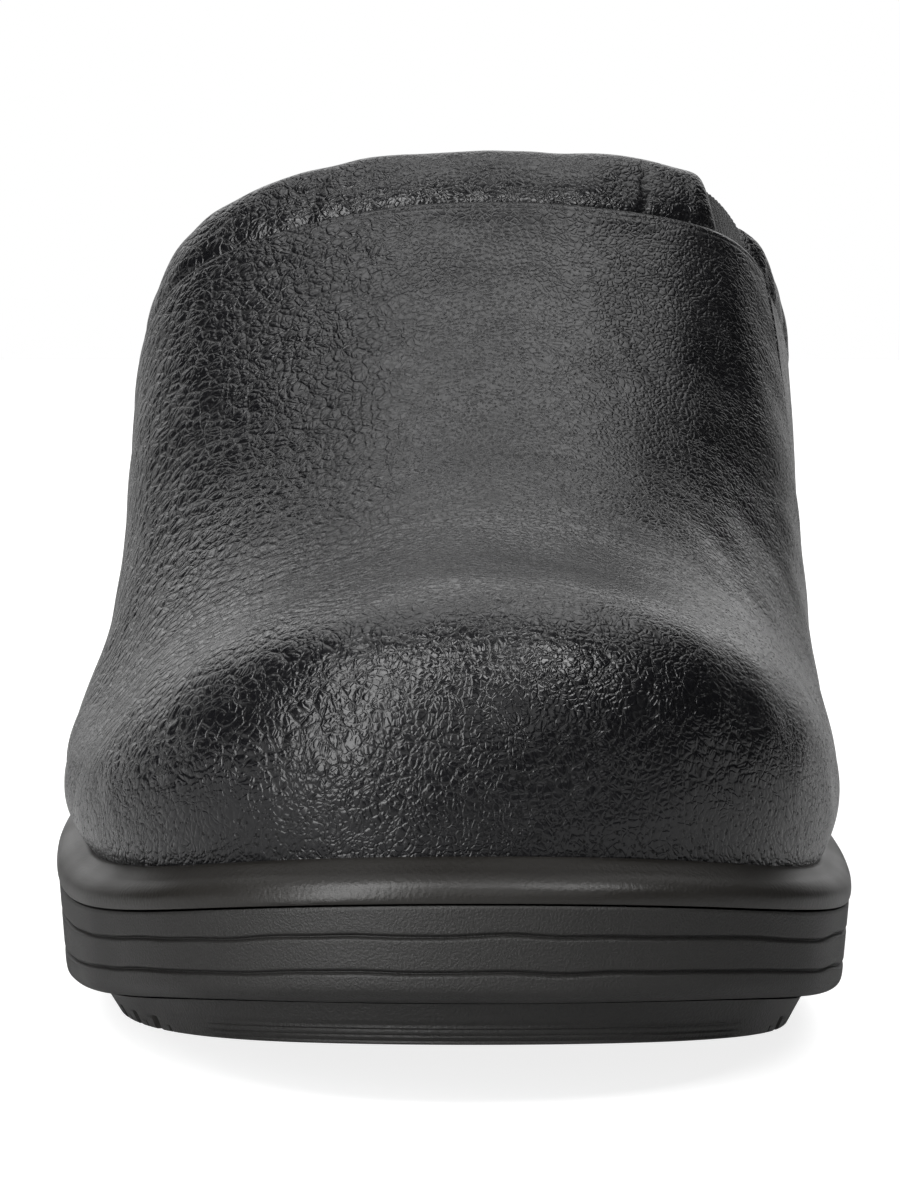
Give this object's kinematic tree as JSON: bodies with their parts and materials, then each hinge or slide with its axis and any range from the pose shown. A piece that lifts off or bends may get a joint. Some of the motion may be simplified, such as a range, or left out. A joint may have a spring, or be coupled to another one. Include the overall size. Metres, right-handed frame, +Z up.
{
  "type": "mule",
  "caption": "Slip-on leather clog mule with a closed round toe, padded collar, elastic side gore, open heel and a ribbed rubber sole with a raised heel.",
  "frame": {"origin": "centre of the shoe's footprint, on the floor", "axes": "+Z up, +Y towards the heel, +X towards the medial side of the right foot"},
  "size_m": [0.1004, 0.264, 0.1052],
  "materials": {
    "tread_rubber": "matt moulded rubber",
    "side_rubber": "fine grained matt rubber",
    "rim_rubber": "smooth satin rubber",
    "footbed_cover": "matt lining leather",
    "black_leather": "tumbled pebbled leather, semi-gloss",
    "collar_leather": "padded pebbled leather, semi-gloss",
    "black_elastic": "ribbed elastic webbing"
  },
  "bodies": {
    "root": {"outsole": "tread_rubber", "midsole": "side_rubber", "welt": "rim_rubber", "insole": "footbed_cover", "upper": "black_leather", "collar": "collar_leather", "collar_quarter": "collar_leather", "gore": "black_elastic"}
  },
  "joints": []
}
